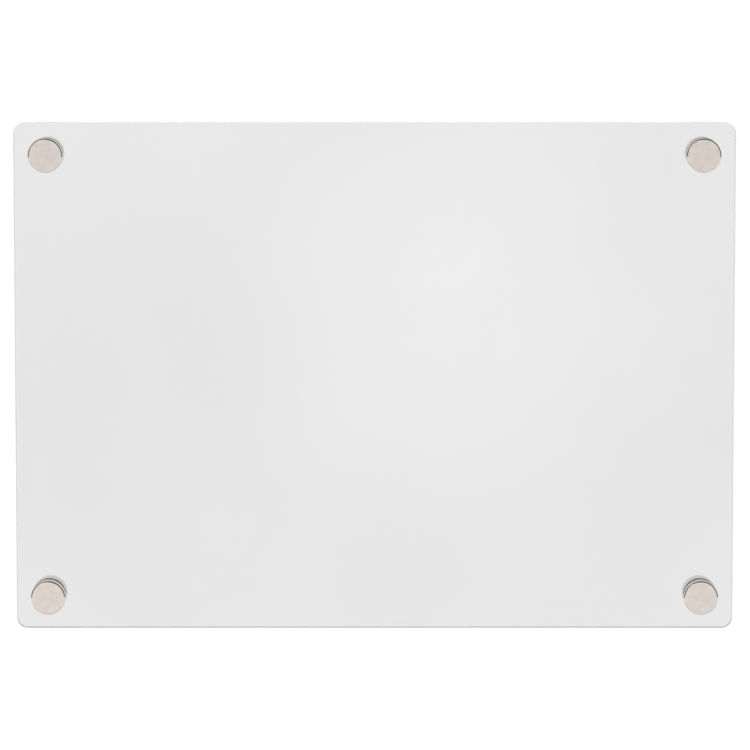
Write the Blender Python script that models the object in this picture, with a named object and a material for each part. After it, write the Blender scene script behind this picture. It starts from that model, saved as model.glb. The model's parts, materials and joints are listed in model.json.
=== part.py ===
"""Clear acrylic memo board, held off the wall by a round metal standoff at each corner.

Metres, +Z up. The board faces -Y and is read from there, with +X on the reader's right. The origin is
the centre of the fixing pattern on the wall plane, where the four barrels stand on the wall.

Every piece is modelled in one standoff's own axes, where z is the height out from the wall. An empty at
each corner turns that height to face -Y, and is the axis on which the cap and its stud unscrew.
"""

import math

import bmesh
import bpy
from mathutils import Matrix

# Sheet
PANEL_WIDTH = 0.420
PANEL_HEIGHT = 0.297
PANEL_THICKNESS = 0.005
PANEL_CORNER_RADIUS = 0.0065
PANEL_EDGE_BEVEL = 0.0003
HOLE_INSET = 0.019

# Cap
CAP_DIAMETER = 0.020
CAP_THICKNESS = 0.007
CAP_FACE_BEVEL = 0.0005
CAP_BORE_DEPTH = 0.0045

# Barrel
BARREL_DIAMETER = 0.020
BARREL_LENGTH = 0.012
BARREL_EDGE_BEVEL = 0.0004
BARREL_MOUTH_CHAMFER = 0.0005
BARREL_LAND_THICKNESS = 0.00045

# Stud and its thread
STUD_DIAMETER = 0.0098
THREAD_PITCH = 0.0015
THREAD_FLANK_ANGLE = math.radians(30)
STUD_CREST_SHARE = 0.3
BARREL_CREST_SHARE = 0.15
STUD_TIP_CHAMFER = 0.0008

# Washers
WASHER_THICKNESS = 0.0005
WASHER_SETBACK = 0.001

# Wall screw
SCREW_DIAMETER = 0.0039
SCREW_LENGTH = 0.030
SCREW_HEAD_DIAMETER = 0.0076
SCREW_POINT_LENGTH = 0.004
SCREW_POINT_DIAMETER = 0.0008
SCREW_THREAD_PITCH = 0.0018
SCREW_FLANK_ANGLE = math.radians(56)
RECESS_SPAN = 0.0044
RECESS_BLADE_WIDTH = 0.0009
RECESS_DEPTH = 0.0014
RECESS_FLOOR_SHARE = 0.55

# Wall plug, from its bore outwards and from its collar down
PLUG_WALL = 0.0006
PLUG_RIB_HEIGHT = 0.0004
PLUG_COLLAR_LIP = 0.0009
PLUG_COLLAR_THICKNESS = 0.0008
PLUG_LENGTH = 0.026
PLUG_SLIT_LENGTH = 0.0175
PLUG_SLIT_WIDTH = 0.0012
PLUG_RIBS = 5

# Clearances
SEAT_GAP = 0.0003
HOLE_CLEARANCE = 0.0006
SCREW_HOLE_CLEARANCE = 0.0003
COLLAR_CLEARANCE = 0.0004
THREAD_FLANK_CLEARANCE = 0.00015
THREAD_LEAD = 0.0001
STUD_TIP_CLEARANCE = 0.001
CUT_OVERRUN = 0.001

# Facets round each turned shape
THREAD_SEGMENTS = 12
OUTER_SEGMENTS = 3 * THREAD_SEGMENTS
WASHER_SEGMENTS = 24
CORNER_SEGMENTS = 8
SMOOTH_ANGLE = math.radians(30)

# The wall screw. Its head's cone and the seat that takes it are square ones, a seat gap apart.
SCREW_RADIUS = SCREW_DIAMETER / 2
SCREW_HEAD_RADIUS = SCREW_HEAD_DIAMETER / 2
SCREW_FLANK_RISE = SCREW_THREAD_PITCH / 2
SCREW_ROOT_RADIUS = SCREW_RADIUS - SCREW_FLANK_RISE / math.tan(SCREW_FLANK_ANGLE)
SCREW_HOLE_RADIUS = SCREW_RADIUS + SCREW_HOLE_CLEARANCE
COUNTERSINK_RADIUS = SCREW_HEAD_RADIUS + SEAT_GAP

# The wall plug, round the screw. Its collar stands on the wall, in a relief in the barrel's base.
PLUG_NECK_RADIUS = SCREW_HOLE_RADIUS + PLUG_WALL
PLUG_RIB_RADIUS = PLUG_NECK_RADIUS + PLUG_RIB_HEIGHT
PLUG_COLLAR_RADIUS = PLUG_RIB_RADIUS + PLUG_COLLAR_LIP
RELIEF_RADIUS = PLUG_COLLAR_RADIUS + COLLAR_CLEARANCE
RELIEF_DEPTH = PLUG_COLLAR_THICKNESS + SEAT_GAP

# Heights out from the wall, each stacked on the one before
BARREL_LAND_FRONT = RELIEF_DEPTH + BARREL_LAND_THICKNESS
BARREL_FLOOR = BARREL_LAND_FRONT + COUNTERSINK_RADIUS - SCREW_HOLE_RADIUS
BARREL_FRONT = BARREL_LENGTH
REAR_WASHER_BACK = BARREL_FRONT + SEAT_GAP
REAR_WASHER_FRONT = REAR_WASHER_BACK + WASHER_THICKNESS
PANEL_BACK = REAR_WASHER_FRONT + SEAT_GAP
PANEL_FRONT = PANEL_BACK + PANEL_THICKNESS
FRONT_WASHER_BACK = PANEL_FRONT + SEAT_GAP
FRONT_WASHER_FRONT = FRONT_WASHER_BACK + WASHER_THICKNESS
CAP_BACK = FRONT_WASHER_FRONT + SEAT_GAP
CAP_FRONT = CAP_BACK + CAP_THICKNESS
STUD_TIP = BARREL_FLOOR + STUD_TIP_CLEARANCE
SCREW_TIP = BARREL_FLOOR - SCREW_LENGTH

# Radii of the mating threads. The barrel's groove is the stud's ridge, widened by the flank clearance.
STUD_RADIUS = STUD_DIAMETER / 2
FLANK_SLOPE = math.tan(THREAD_FLANK_ANGLE)
STUD_FLANK_RISE = (1 - STUD_CREST_SHARE) * THREAD_PITCH / 2
BARREL_FLANK_RISE = (1 - BARREL_CREST_SHARE) * THREAD_PITCH / 2
STUD_ROOT_RADIUS = STUD_RADIUS - STUD_FLANK_RISE / FLANK_SLOPE
BARREL_ROOT_RADIUS = STUD_ROOT_RADIUS + (THREAD_PITCH / 2 + THREAD_FLANK_CLEARANCE) / FLANK_SLOPE
BARREL_CREST_RADIUS = BARREL_ROOT_RADIUS - BARREL_FLANK_RISE / FLANK_SLOPE

# Heights of a root of each thread at angle zero. They differ by half a pitch, which puts ridge in groove.
BARREL_THREAD_HEIGHT = BARREL_FLOOR + THREAD_LEAD
STUD_THREAD_HEIGHT = BARREL_THREAD_HEIGHT + THREAD_PITCH / 2

CORNERS = {
    "top_left": (-1, 1),
    "top_right": (1, 1),
    "bottom_left": (-1, -1),
    "bottom_right": (1, -1),
}
HOLE_X = PANEL_WIDTH / 2 - HOLE_INSET
HOLE_Y = PANEL_HEIGHT / 2 - HOLE_INSET


def clear_scene():
    for obj in list(bpy.data.objects):
        bpy.data.objects.remove(obj)


def finish(name, color, roughness, metallic, transmission=0):
    """A Principled material."""
    material = bpy.data.materials.new(name)
    material.use_nodes = True
    shader = material.node_tree.nodes["Principled BSDF"]
    shader.inputs["Base Color"].default_value = (*color, 1)
    shader.inputs["Roughness"].default_value = roughness
    shader.inputs["Metallic"].default_value = metallic
    shader.inputs["Transmission Weight"].default_value = transmission
    return material


def mesh_from(bm, name):
    """The closed mesh of a bmesh, facing out, with its round faces smooth."""
    bmesh.ops.recalc_face_normals(bm, faces=bm.faces)
    mesh = bpy.data.meshes.new(name)
    bm.to_mesh(mesh)
    bm.free()
    mesh.shade_smooth()
    mesh.set_sharp_from_angle(angle=SMOOTH_ANGLE)
    return mesh


def circle(bm, radius, height, segments):
    """Points round the z axis."""
    turn = math.tau / segments
    return [
        bm.verts.new((radius * math.cos(step * turn), radius * math.sin(step * turn), height))
        for step in range(segments)
    ]


def skin(bm, coarse, fine):
    """Faces between two rings. The second may have a whole number of times as many points as the first."""
    times = len(fine) // len(coarse)
    for here in range(len(coarse)):
        there = (here + 1) % len(coarse)
        far_side = [fine[(here * times + step) % len(fine)] for step in range(times + 1)]
        bm.faces.new([coarse[there], coarse[here], *far_side])


def turned(name, profile, segments):
    """A solid turned about the z axis from its (radius, height) points, with a flat face at either end."""
    bm = bmesh.new()
    rings = [circle(bm, radius, height, segments) for radius, height in profile]
    for first, second in zip(rings, rings[1:]):
        skin(bm, first, second)
    bm.faces.new(rings[0])
    bm.faces.new(rings[-1])
    return mesh_from(bm, name)


def turned_ring(name, profile, segments):
    """A ring turned about the z axis from its closed (radius, height) outline."""
    bm = bmesh.new()
    rings = [circle(bm, radius, height, segments) for radius, height in profile]
    for first, second in zip(rings, rings[1:] + rings[:1]):
        skin(bm, first, second)
    return mesh_from(bm, name)


def thread_wall(bm, profile, pitch, height, bottom, top, segments):
    """The wall of a right-handed thread between a flat ring at bottom and one at top, which it returns.

    The profile is one pitch of (radius, rise) points, from a root at rise zero. A root passes through
    height at angle zero. The thread has the whole turns that fit, and the wall is plain, at the root's
    radius, beyond them.
    """
    root_radius = profile[0][0]
    start = height + math.ceil((bottom + THREAD_LEAD - height) / pitch) * pitch
    turns = math.floor((top - THREAD_LEAD - start) / pitch) - 1
    steps = turns * segments

    def point(radius, rise, step):
        angle = math.tau * step / segments
        return bm.verts.new(
            (radius * math.cos(angle), radius * math.sin(angle), start + rise + pitch * step / segments)
        )

    root = [point(root_radius, 0, step) for step in range(steps + segments + 1)]
    ridge = [[point(radius, rise, step) for radius, rise in profile[1:]] for step in range(steps + 1)]
    sections = [[root[step], *ridge[step], root[step + segments]] for step in range(steps + 1)]
    for here, there in zip(sections, sections[1:]):
        for corner in range(len(here) - 1):
            bm.faces.new((here[corner], there[corner], there[corner + 1], here[corner + 1]))

    ends = []
    for level, first_step, section in [(bottom, 0, sections[0]), (top, steps, sections[-1])]:
        flat = circle(bm, root_radius, level, segments)
        for step in range(segments):
            here = root[first_step + step]
            there = root[first_step + step + 1]
            bm.faces.new((here, there, flat[(step + 1) % segments], flat[step]))
        bm.faces.new([flat[0], *section])
        ends.append(flat)
    return ends


def carved(name, body, cutters):
    """The body's mesh with each cutter's mesh taken out of it."""
    scene = bpy.context.scene.collection
    helpers = [bpy.data.objects.new(mesh.name, mesh) for mesh in [body, *cutters]]
    for helper in helpers:
        scene.objects.link(helper)
    for cutter in helpers[1:]:
        cut = helpers[0].modifiers.new(cutter.name, "BOOLEAN")
        cut.operation = "DIFFERENCE"
        cut.solver = "EXACT"
        cut.object = cutter
    bpy.context.view_layer.update()
    graph = bpy.context.evaluated_depsgraph_get()
    mesh = bpy.data.meshes.new_from_object(helpers[0].evaluated_get(graph))
    for helper in helpers:
        bpy.data.objects.remove(helper)
    mesh.name = name
    mesh.shade_smooth()
    mesh.set_sharp_from_angle(angle=SMOOTH_ANGLE)
    return mesh


def rounded_sheet():
    """The sheet with rounded corners and a fine bevel round both faces."""
    bm = bmesh.new()
    centre_x = PANEL_WIDTH / 2 - PANEL_CORNER_RADIUS
    centre_y = PANEL_HEIGHT / 2 - PANEL_CORNER_RADIUS
    outline = []
    for quarter, (side_x, side_y) in enumerate([(1, 1), (-1, 1), (-1, -1), (1, -1)]):
        for step in range(CORNER_SEGMENTS + 1):
            angle = (quarter + step / CORNER_SEGMENTS) * math.pi / 2
            outline.append(
                (
                    side_x * centre_x + PANEL_CORNER_RADIUS * math.cos(angle),
                    side_y * centre_y + PANEL_CORNER_RADIUS * math.sin(angle),
                )
            )
    back = bm.faces.new([bm.verts.new((x, y, PANEL_BACK)) for x, y in outline])
    side = bmesh.ops.extrude_face_region(bm, geom=[back], use_keep_orig=True)
    front_points = [item for item in side["geom"] if isinstance(item, bmesh.types.BMVert)]
    bmesh.ops.translate(bm, verts=front_points, vec=(0, 0, PANEL_THICKNESS))
    bmesh.ops.recalc_face_normals(bm, faces=bm.faces)
    rims = [
        edge
        for edge in bm.edges
        if edge.verts[0].co.z == edge.verts[1].co.z and len(edge.link_faces) == 2
    ]
    bmesh.ops.bevel(
        bm,
        geom=rims,
        offset=PANEL_EDGE_BEVEL,
        offset_type="OFFSET",
        affect="EDGES",
        segments=1,
        profile=0.5,
        material=-1,
    )
    return mesh_from(bm, "sheet")


def panel_mesh():
    """The sheet, drilled for a stud at each corner."""
    drills = []
    for side_x, side_y in CORNERS.values():
        hole_radius = STUD_RADIUS + HOLE_CLEARANCE
        ends = [(hole_radius, PANEL_BACK - CUT_OVERRUN), (hole_radius, PANEL_FRONT + CUT_OVERRUN)]
        drill = turned("stud_hole", ends, WASHER_SEGMENTS)
        drill.transform(Matrix.Translation((side_x * HOLE_X, side_y * HOLE_Y, 0)))
        drills.append(drill)
    return carved("panel", rounded_sheet(), drills)


def cap_mesh():
    """A thick disc with a bevelled face, and a blind bore at the back for the stud's shank."""
    radius = CAP_DIAMETER / 2
    bore_radius = STUD_ROOT_RADIUS + SEAT_GAP
    profile = [
        (bore_radius, CAP_BACK + CAP_BORE_DEPTH),
        (bore_radius, CAP_BACK),
        (radius, CAP_BACK),
        (radius, CAP_FRONT - CAP_FACE_BEVEL),
        (radius - CAP_FACE_BEVEL, CAP_FRONT),
    ]
    return turned("cap", profile, OUTER_SEGMENTS)


def stud_mesh():
    """A threaded rod with a chamfered tip and a plain shank that fills the cap's bore."""
    profile = [
        (STUD_ROOT_RADIUS, 0),
        (STUD_RADIUS, STUD_FLANK_RISE),
        (STUD_RADIUS, THREAD_PITCH - STUD_FLANK_RISE),
    ]
    bm = bmesh.new()
    tip = circle(bm, STUD_ROOT_RADIUS - STUD_TIP_CHAMFER, STUD_TIP, THREAD_SEGMENTS)
    foot, shoulder = thread_wall(
        bm,
        profile,
        THREAD_PITCH,
        STUD_THREAD_HEIGHT,
        STUD_TIP + STUD_TIP_CHAMFER,
        CAP_BACK,
        THREAD_SEGMENTS,
    )
    top = circle(bm, STUD_ROOT_RADIUS, CAP_BACK + CAP_BORE_DEPTH - SEAT_GAP, THREAD_SEGMENTS)
    skin(bm, tip, foot)
    skin(bm, shoulder, top)
    bm.faces.new(tip)
    bm.faces.new(top)
    return mesh_from(bm, "stud")


def barrel_mesh():
    """A round spacer, threaded from the front for the stud, with the wall screw's seat in its base."""
    profile = [
        (BARREL_ROOT_RADIUS, 0),
        (BARREL_CREST_RADIUS, BARREL_FLANK_RISE),
        (BARREL_CREST_RADIUS, THREAD_PITCH - BARREL_FLANK_RISE),
    ]
    radius = BARREL_DIAMETER / 2
    outside = [
        (radius - BARREL_EDGE_BEVEL, 0),
        (radius, BARREL_EDGE_BEVEL),
        (radius, BARREL_FRONT - BARREL_EDGE_BEVEL),
        (radius - BARREL_EDGE_BEVEL, BARREL_FRONT),
    ]
    seat = [
        (COUNTERSINK_RADIUS, BARREL_FLOOR),
        (SCREW_HOLE_RADIUS, BARREL_LAND_FRONT),
        (SCREW_HOLE_RADIUS, RELIEF_DEPTH),
        (RELIEF_RADIUS, RELIEF_DEPTH),
        (RELIEF_RADIUS, 0),
    ]
    bm = bmesh.new()
    outer = [circle(bm, *point, OUTER_SEGMENTS) for point in outside]
    mouth = circle(bm, BARREL_ROOT_RADIUS + BARREL_MOUTH_CHAMFER, BARREL_FRONT, THREAD_SEGMENTS)
    floor, lip = thread_wall(
        bm,
        profile,
        THREAD_PITCH,
        BARREL_THREAD_HEIGHT,
        BARREL_FLOOR,
        BARREL_FRONT - BARREL_MOUTH_CHAMFER,
        THREAD_SEGMENTS,
    )
    inner = [floor, *[circle(bm, *point, THREAD_SEGMENTS) for point in seat]]
    for wall in (outer, inner):
        for first, second in zip(wall, wall[1:]):
            skin(bm, first, second)
    skin(bm, mouth, outer[-1])
    skin(bm, mouth, lip)
    skin(bm, inner[-1], outer[0])
    return mesh_from(bm, "barrel")


def washer_mesh(name, back):
    inner = STUD_RADIUS + HOLE_CLEARANCE
    outer = CAP_DIAMETER / 2 - WASHER_SETBACK
    front = back + WASHER_THICKNESS
    return turned_ring(name, [(inner, back), (outer, back), (outer, front), (inner, front)], WASHER_SEGMENTS)


def cross(bm, scale, height):
    """The outline of a cross-head driver's recess, its points turned to stand against a ring of twelve."""
    arm = scale * RECESS_SPAN / 2
    blade = scale * RECESS_BLADE_WIDTH / 2
    outline = [bm.verts.new((x, y, height)) for x, y in [(arm, -blade), (arm, blade), (blade, blade)] * 4]
    for corner, point in enumerate(outline):
        turn = (corner // 3) * math.pi / 2 + math.pi / len(outline)
        bmesh.ops.rotate(bm, verts=[point], matrix=Matrix.Rotation(turn, 3, "Z"))
    return outline


def screw_mesh():
    """A countersunk screw, its head flush with the bore's floor and its threaded shank in the wall."""
    bm = bmesh.new()
    point = circle(bm, SCREW_POINT_DIAMETER / 2, SCREW_TIP, THREAD_SEGMENTS)
    foot, shoulder = thread_wall(
        bm,
        [(SCREW_ROOT_RADIUS, 0), (SCREW_RADIUS, SCREW_FLANK_RISE)],
        SCREW_THREAD_PITCH,
        SCREW_TIP,
        SCREW_TIP + SCREW_POINT_LENGTH,
        0,
        THREAD_SEGMENTS,
    )
    neck = [
        (SCREW_RADIUS, 0),
        (SCREW_RADIUS, BARREL_FLOOR - (SCREW_HEAD_RADIUS - SCREW_RADIUS)),
        (SCREW_HEAD_RADIUS, BARREL_FLOOR),
    ]
    rings = [
        point,
        foot,
        shoulder,
        *[circle(bm, radius, height, THREAD_SEGMENTS) for radius, height in neck],
        cross(bm, 1, BARREL_FLOOR),
        cross(bm, RECESS_FLOOR_SHARE, BARREL_FLOOR - RECESS_DEPTH),
    ]
    for first, second in zip(rings, rings[1:]):
        if second is not shoulder:
            skin(bm, first, second)
    bm.faces.new(point)
    bm.faces.new(rings[-1])
    return mesh_from(bm, "wall_screw")


def plug_mesh():
    """A ribbed sleeve with a collar, slit from its far end so that the screw can spread it."""
    end = PLUG_COLLAR_THICKNESS - PLUG_LENGTH
    slit_top = end + PLUG_SLIT_LENGTH
    rib_pitch = PLUG_SLIT_LENGTH / (PLUG_RIBS + 1)
    outer_wall = [
        (PLUG_COLLAR_RADIUS, PLUG_COLLAR_THICKNESS),
        (PLUG_COLLAR_RADIUS, 0),
        (PLUG_NECK_RADIUS, 0),
    ]
    for rib in range(PLUG_RIBS):
        rib_top = slit_top - (rib + 1) * rib_pitch + PLUG_RIB_HEIGHT
        outer_wall += [(PLUG_NECK_RADIUS, rib_top), (PLUG_RIB_RADIUS, rib_top)]
    outer_wall.append((PLUG_NECK_RADIUS, end))
    bore = [(SCREW_HOLE_RADIUS, end), (SCREW_HOLE_RADIUS, PLUG_COLLAR_THICKNESS)]
    sleeve = turned_ring("plug_sleeve", outer_wall + bore, THREAD_SEGMENTS)
    cutter_length = PLUG_SLIT_LENGTH + CUT_OVERRUN
    bm = bmesh.new()
    bmesh.ops.create_cube(bm, size=1)
    bmesh.ops.scale(bm, verts=bm.verts, vec=(4 * PLUG_RIB_RADIUS, PLUG_SLIT_WIDTH, cutter_length))
    bmesh.ops.translate(bm, verts=bm.verts, vec=(0, 0, slit_top - cutter_length / 2))
    return carved("wall_plug", sleeve, [mesh_from(bm, "plug_slit")])


def empty(name, x, z):
    """An empty whose own z axis points out from the wall, towards -Y."""
    frame = bpy.data.objects.new(name, None)
    frame.location = (x, 0, z)
    frame.rotation_euler = (math.pi / 2, 0, 0)
    bpy.context.scene.collection.objects.link(frame)
    return frame


def coated(mesh, material):
    mesh.materials.append(material)
    return mesh


def place(name, mesh, frame):
    piece = bpy.data.objects.new(name, mesh)
    piece.parent = frame
    bpy.context.scene.collection.objects.link(piece)


def build():
    clear_scene()
    acrylic = finish("clear_acrylic", (0.93, 0.94, 0.95), roughness=0.03, metallic=0, transmission=1)
    nickel = finish("satin_nickel", (0.68, 0.63, 0.59), roughness=0.28, metallic=1)
    steel = finish("threaded_steel", (0.62, 0.60, 0.57), roughness=0.35, metallic=1)
    silicone = finish("clear_silicone", (0.86, 0.87, 0.87), roughness=0.4, metallic=0, transmission=0.6)
    zinc = finish("zinc_plated_steel", (0.70, 0.71, 0.73), roughness=0.3, metallic=1)
    nylon = finish("grey_nylon", (0.60, 0.61, 0.62), roughness=0.55, metallic=0)
    place("panel", coated(panel_mesh(), acrylic), empty("board", 0, 0))
    kit = {
        "cap": coated(cap_mesh(), nickel),
        "stud": coated(stud_mesh(), steel),
        "front_washer": coated(washer_mesh("front_washer", FRONT_WASHER_BACK), silicone),
        "rear_washer": coated(washer_mesh("rear_washer", REAR_WASHER_BACK), silicone),
        "barrel": coated(barrel_mesh(), nickel),
        "wall_screw": coated(screw_mesh(), zinc),
        "wall_plug": coated(plug_mesh(), nylon),
    }
    for corner, (side_x, side_y) in CORNERS.items():
        standoff = empty(f"standoff_{corner}", side_x * HOLE_X, side_y * HOLE_Y)
        for piece, mesh in kit.items():
            place(f"{piece}_{corner}", mesh, standoff)


build()
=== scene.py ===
"""Dresses the clear acrylic memo board for its picture.

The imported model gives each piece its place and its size. Every piece is made again here with round threads,
rolled edges and its own finish, and rides on the body of the solid that it stands for. Lengths are in metres.
The board faces -Y. A standoff's piece is turned about z, its height out from the wall, and then hung at its
corner.
"""

import json
import math

import bmesh
import bpy
from bpy.props import FloatProperty, FloatVectorProperty, IntProperty, PointerProperty
from bpy.types import Operator, Panel, PropertyGroup
from mathutils import Matrix, Vector


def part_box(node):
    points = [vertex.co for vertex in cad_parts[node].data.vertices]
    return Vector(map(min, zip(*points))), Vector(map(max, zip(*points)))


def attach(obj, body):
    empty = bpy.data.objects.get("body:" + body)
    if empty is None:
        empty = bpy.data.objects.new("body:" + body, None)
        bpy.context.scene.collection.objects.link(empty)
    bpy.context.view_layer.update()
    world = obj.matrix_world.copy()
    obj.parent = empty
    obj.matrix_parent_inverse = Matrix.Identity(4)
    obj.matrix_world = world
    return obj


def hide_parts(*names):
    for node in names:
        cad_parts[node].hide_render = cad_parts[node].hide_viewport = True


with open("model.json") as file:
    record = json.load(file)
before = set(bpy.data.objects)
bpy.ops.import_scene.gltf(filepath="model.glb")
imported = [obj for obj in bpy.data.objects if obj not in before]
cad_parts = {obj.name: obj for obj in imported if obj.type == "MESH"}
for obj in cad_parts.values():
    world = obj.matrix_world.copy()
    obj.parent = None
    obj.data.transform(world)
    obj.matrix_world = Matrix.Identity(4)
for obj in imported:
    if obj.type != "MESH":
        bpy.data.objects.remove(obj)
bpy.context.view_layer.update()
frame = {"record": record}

bl_info = {
    "name": "Acrylic memo board",
    "version": (1, 0, 0),
    "blender": (4, 5, 0),
    "location": "View3D > Sidebar > Memo board",
    "description": "Makes a clear writing board on screwed metal standoffs, with its studio",
    "category": "Object",
}

BODY_OF = {node: body for body, nodes in frame["record"]["behaviour"]["bodies"].items() for node in nodes}
CORNERS = ("top_left", "top_right", "bottom_left", "bottom_right")

# Facets round each turned shape, and across each rolled edge
TURNED_STEPS = 96
THREAD_STEPS = 48
CORNER_STEPS = 20
ROLL_STEPS = 4
SHARP_ANGLE = math.radians(32)

# Points nearer than a weld are one point, and after a cut so are points nearer than a sliver
WELD = 1e-7
SLIVER = 1e-6

# Places are rounded to this many decimals of a metre, so that every run gives the same points
SNAP_DIGITS = 8

# How far a cutter runs past what it cuts
OVERRUN = 0.001

# Where the sheet's painted highlight is brightest, right of its centre and above it
PAINTED_HIGHLIGHT_MIDDLE = (0.044, 0, 0.035)

# How far a face's normal lies along y, at the least, on the sheet's front and back
FACE_ON = 0.99

# How a blade of the screw's recess narrows to its foot, and how the screw's point curves in to its tip
RECESS_FOOT = (0.45, 0.8, 1)
POINT_CURVE = 1.5

ACRYLIC_IOR = 1.49
SILICONE_IOR = 1.41

# What is left of the silicone's colour where it is milky
MILKINESS = 0.94

# The span of a noise that roughness follows, and the span that patches of colour follow
GRAIN_SPAN = (0.3, 0.7)
PATCH_SPAN = (0.35, 0.7)

# Depth of the fine marks that a tool or a blast leaves in metal
MARK_DEPTH = 0.00002

# The angle of the marks that wiping leaves, and how fine these, saw marks and flow lines are on each axis
WIPE_ANGLE = math.radians(24)
WIPE_SCALE = (9, 1, 260)
SAW_SCALE = (900, 120, 900)
FLOW_SCALE = (700, 700, 90)

# Where the dark of the ceiling, and of the flags at the sides, starts and is full in a unit direction
CEILING_SPAN = (0.2, 0.5)
FLAG_SPAN = (0.55, 0.85)

# Where each lamp stands, as shares of the camera's distance
KEY_LAMP_SHARES = (-0.7, -0.85, 0.8)
FILL_LAMP_SHARES = (0.9, 0.75, 0.6)


def length_of(name, description, default):
    return FloatProperty(
        name=name, description=description, default=default, min=0, unit="LENGTH", precision=5
    )


def share_of(name, description, default):
    return FloatProperty(
        name=name, description=description, default=default, min=0, max=1, subtype="FACTOR"
    )


def colour_of(name, description, default):
    return FloatVectorProperty(
        name=name, description=description, default=default, min=0, max=1, subtype="COLOR"
    )


def group_of(kind, name, description):
    return PointerProperty(type=kind, name=name, description=description)


class SheetSettings(PropertyGroup):
    corner_radius: length_of("Corner radius", "Radius of the sheet's four corners", 0.0065)
    edge_roll: length_of("Edge roll", "Radius of the polished edge round both faces", 0.0004)
    hole_clearance: length_of("Hole clearance", "Room between a stud's thread and its hole", 0.0006)
    hole_chamfer: length_of("Hole chamfer", "Width of the chamfer at each end of a hole", 0.0003)
    # The sheet's tone runs between these two tints: towards the first in the painted highlight, in painted
    # light towards the top and in pale random clouds. Both are greyer than clear acrylic, as painted shade of
    # what lies behind the sheet
    lit_and_pale_cloud_tint: colour_of("Clear tint", "What the sheet lets through where clean", (0.832, 0.832, 0.832))
    shaded_and_dark_cloud_tint: colour_of("Hazy tint", "What it lets through where wiping left a haze", (0.70, 0.70, 0.702))
    edge_tint: colour_of("Edge tint", "What the polished edge lets through", (0.98, 0.988, 0.99))
    edge_frost: colour_of("Edge frost", "The edge where its polish is thinner", (0.905, 0.915, 0.92))
    haze: share_of("Haze", "Roughness of the sheet's faces", 0.02)
    # A painted highlight: the sheet is painted lighter round a point right of its middle and above it, in
    # place of a soft light's reflection. These give how far its brightest core and its whole reach run, and
    # how strong it is
    highlight_core: length_of("Clean core", "How far the cleanest part of the middle reaches", 0.02)
    highlight_reach: length_of("Clean reach", "How far the clean middle reaches", 0.16)
    highlight_strength: share_of("Clean middle", "How much cleaner the sheet is in its middle", 0.39)
    # Painted shade: how much darker the sheet is painted at its bottom than at its top
    shade_towards_bottom: share_of("Clean top", "How much cleaner it is at its top", 0.42)
    clouding: share_of("Clouding", "How much its clouds vary", 0.35)


class StandoffSettings(PropertyGroup):
    face_chamfer: length_of("Face chamfer", "Width of the polished chamfer round the cap's face", 0.0006)
    face_roll: length_of("Face roll", "Radius on both edges of the cap's chamfer", 0.00015)
    foot_roll: length_of("Foot roll", "Radius round the cap's foot and both ends of the barrel", 0.0003)
    bore_depth: length_of("Bore depth", "Depth of the cap's bore", 0.0045)
    seat_gap: length_of("Seat gap", "Gap between the stud's shank and the cap's bore", 0.0003)
    clamp_gap: length_of("Clamp gap", "Gap left on each side of a clamped washer", 0.00005)
    pitch: length_of("Thread pitch", "Travel of the cap for each turn", 0.0015)
    stud_depth: length_of("Stud thread depth", "From the crest to the root of the stud's thread", 0.00091)
    barrel_crest: length_of("Barrel crest", "Radius inside the barrel's thread", 0.004445)
    barrel_root: length_of("Barrel root", "Radius in the groove of the barrel's thread", 0.00555)
    thread_lead: length_of("Thread lead", "Height of the barrel's first groove over its floor", 0.0001)
    mouth_chamfer: length_of("Mouth chamfer", "Width of the chamfer at the barrel's mouth", 0.0005)
    tip_chamfer: length_of("Tip chamfer", "Width of the chamfer at the stud's tip", 0.0008)
    nickel: colour_of("Nickel", "Satin nickel plate", (0.68, 0.624, 0.587))
    nickel_shade: colour_of("Nickel shade", "The plate where it is a little duller", (0.632, 0.567, 0.523))
    polish: share_of("Polish", "Roughness of the chamfer and the side, as a share of the face's", 0.3)
    steel: colour_of("Steel", "Turned steel on a thread's crest", (0.62, 0.60, 0.57))
    # Painted shade: the colour the steel is darkened to in a thread's root
    painted_root_shade: colour_of("Steel root", "Turned steel in a thread's root", (0.30, 0.28, 0.26))
    silicone: colour_of("Silicone", "Clear silicone of the washers", (0.93, 0.935, 0.935))


class FixingSettings(PropertyGroup):
    pitch: length_of("Thread pitch", "Pitch of the wall screw", 0.0018)
    shank_radius: length_of("Shank radius", "Crest radius of the wall screw's thread", 0.00195)
    thread_depth: length_of("Thread depth", "From the crest to the root of the wall screw", 0.00061)
    point_length: length_of("Point length", "Length of the screw's tapered point", 0.004)
    point_radius: length_of("Point radius", "Radius at the very point", 0.0003)
    recess_span: length_of("Recess span", "Across the cross recess from end to end", 0.0044)
    recess_blade: length_of("Recess blade", "Width of one arm of the cross", 0.0009)
    recess_depth: length_of("Recess depth", "Depth of the cross recess", 0.0014)
    screw_clearance: length_of("Screw clearance", "Room round the screw in its plug and barrel", 0.0003)
    collar_clearance: length_of("Collar clearance", "Room round the plug's collar in the barrel", 0.0004)
    land_thickness: length_of("Land thickness", "Metal between the relief and the screw's seat", 0.00045)
    plug_wall: length_of("Plug wall", "Wall of the plug's sleeve", 0.0006)
    rib_height: length_of("Rib height", "How far each rib stands out from the sleeve", 0.0004)
    rib_roll: length_of("Rib roll", "Radius on the ribs and the collar", 0.00012)
    slit_length: length_of("Slit length", "Length of the slit from the plug's end", 0.0175)
    slit_width: length_of("Slit width", "Width of the slit", 0.0012)
    ribs: IntProperty(name="Ribs", description="Ribs along the slit", default=5, min=1)
    zinc: colour_of("Zinc", "Bright zinc plate", (0.70, 0.71, 0.73))
    zinc_shade: colour_of("Zinc shade", "The plate where it is dull", (0.60, 0.61, 0.635))
    nylon: colour_of("Nylon", "Grey moulded nylon", (0.60, 0.61, 0.62))
    nylon_flow: colour_of("Nylon flow", "The nylon along its flow lines", (0.52, 0.53, 0.54))


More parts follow.
